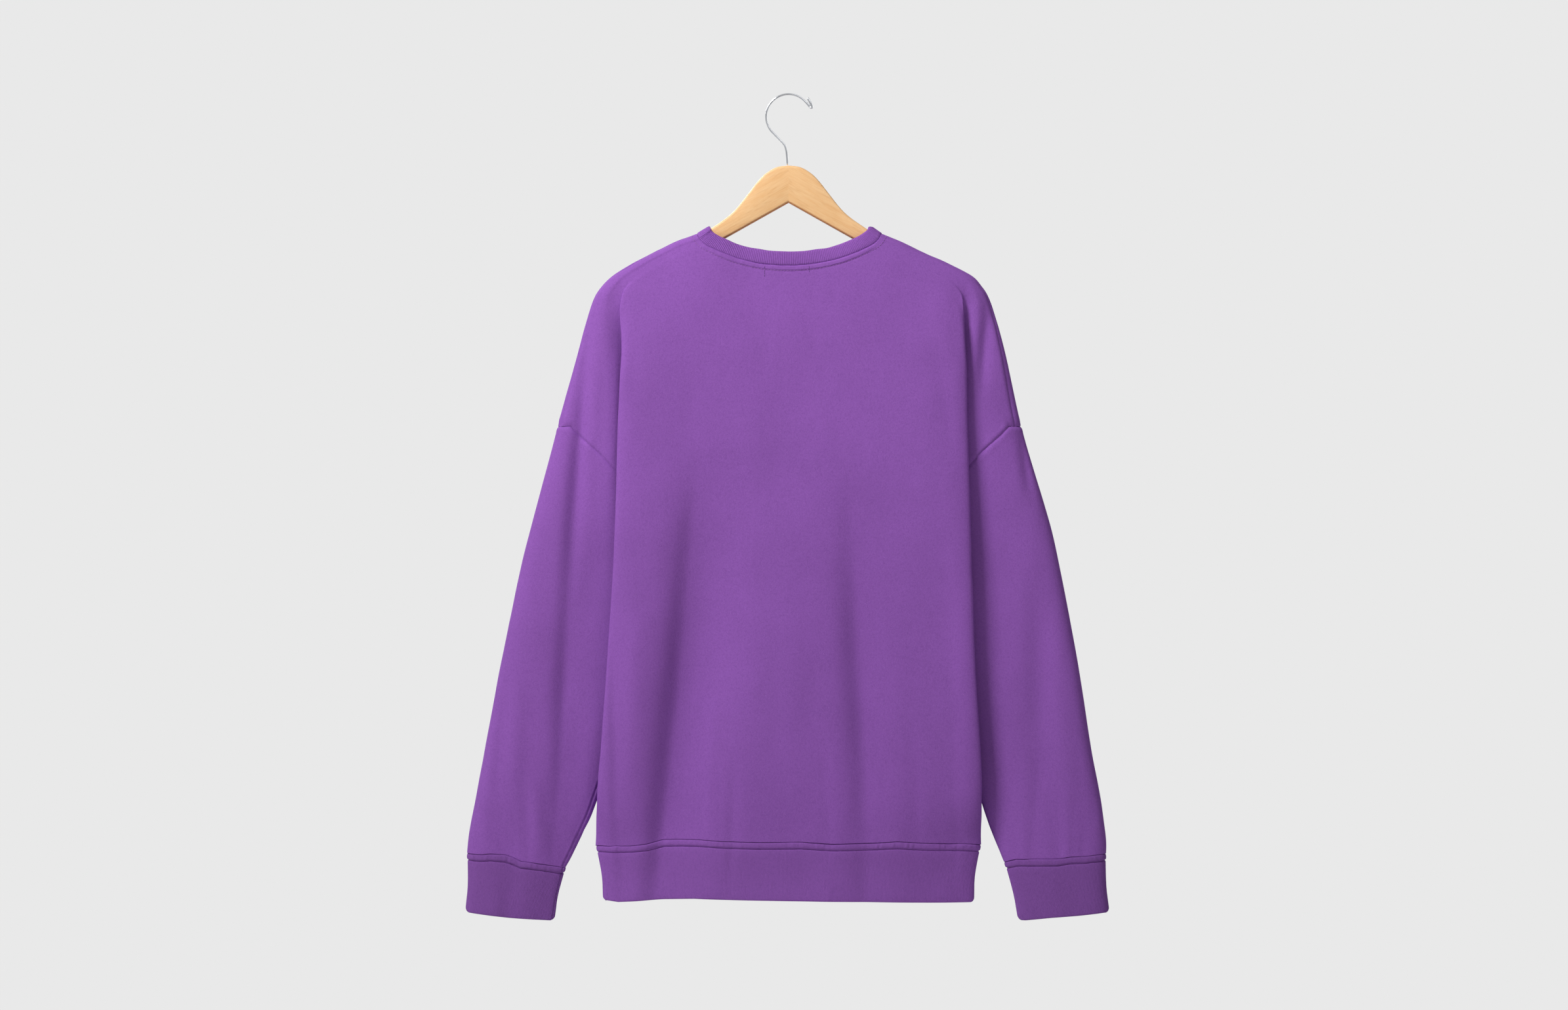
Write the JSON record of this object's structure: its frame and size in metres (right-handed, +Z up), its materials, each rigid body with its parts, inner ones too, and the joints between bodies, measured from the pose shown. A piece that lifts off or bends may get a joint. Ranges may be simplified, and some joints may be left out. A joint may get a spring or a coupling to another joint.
{
  "type": "crewneck sweatshirt on a wooden hanger",
  "caption": "Crewneck sweatshirt hung flat on a wooden hanger: dropped shoulders, long sleeves, ribbed neckband, cuffs and hem, open hollows.",
  "frame": {"origin": "inside top of the hook's round, where it rests on a rail", "axes": "+Z up along the hanging line, +Y from the garment's back to its front, +X to the right as seen from the garment's back"},
  "size_m": [0.6891, 0.0761, 0.8827],
  "materials": {
    "fleece": "brushed cotton fleece jersey, matt, purple",
    "rib": "fine cotton rib knit, matt, purple",
    "wood": "pale maple or beech, thin satin lacquer",
    "wire": "polished chrome-plated wire"
  },
  "bodies": {
    "root": {"back_panel": "fleece", "front_panel": "fleece", "sleeve_left": "fleece", "sleeve_right": "fleece", "neckband": "rib", "hem_band": "rib", "cuff_left": "rib", "cuff_right": "rib", "hanger_arm_left": "wood", "hanger_arm_right": "wood", "hanger_hook": "wire"}
  },
  "joints": []
}
